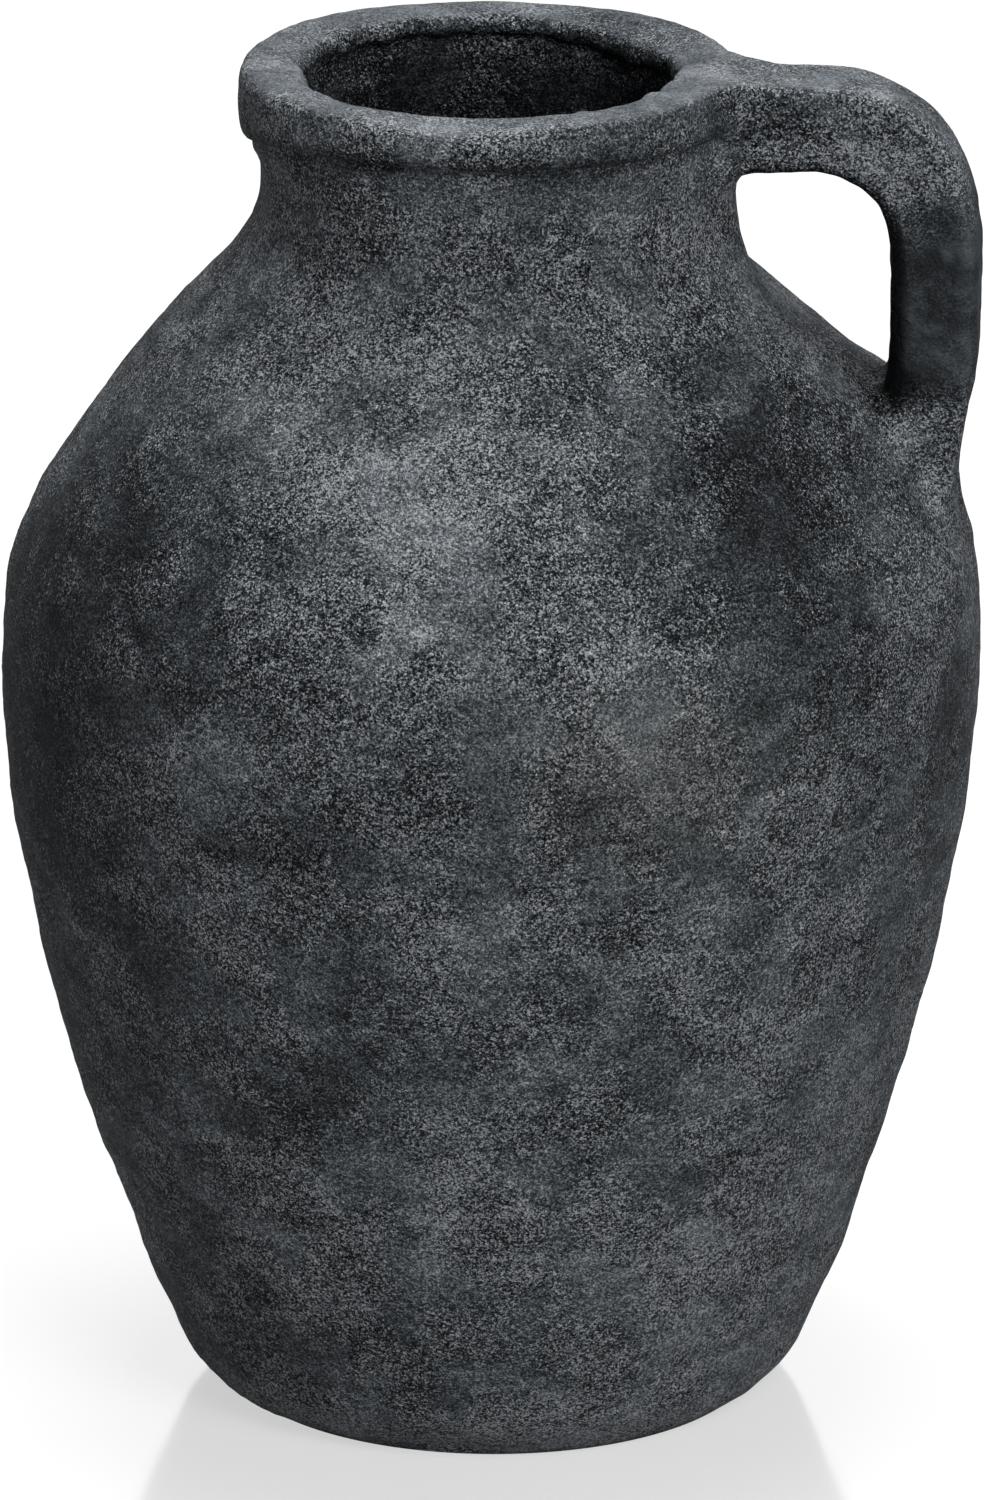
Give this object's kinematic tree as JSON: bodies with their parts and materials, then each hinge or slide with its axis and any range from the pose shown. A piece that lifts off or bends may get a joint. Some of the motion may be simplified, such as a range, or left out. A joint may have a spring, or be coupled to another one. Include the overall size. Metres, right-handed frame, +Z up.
{
  "type": "one-handled jug",
  "caption": "Hand-thrown one-handled jug in dark, rough, unglazed ceramic: full shoulder, short neck, thick rim collar, square-shouldered strap handle.",
  "frame": {"origin": "middle of the flat underside, on the axis of the vessel", "axes": "+Z up along the axis of the vessel, +X towards the handle"},
  "size_m": [0.1854, 0.1854, 0.26],
  "materials": {
    "charcoal_clay": "matte, gritty charcoal slip with chalky blue-grey mottling"
  },
  "bodies": {
    "root": {"floor_disc": "charcoal_clay", "floor_seam_coil": "charcoal_clay", "lower_body": "charcoal_clay", "upper_body": "charcoal_clay", "neck": "charcoal_clay", "rim_collar": "charcoal_clay", "handle": "charcoal_clay", "upper_handle_luting": "charcoal_clay", "lower_handle_luting": "charcoal_clay"}
  },
  "joints": []
}
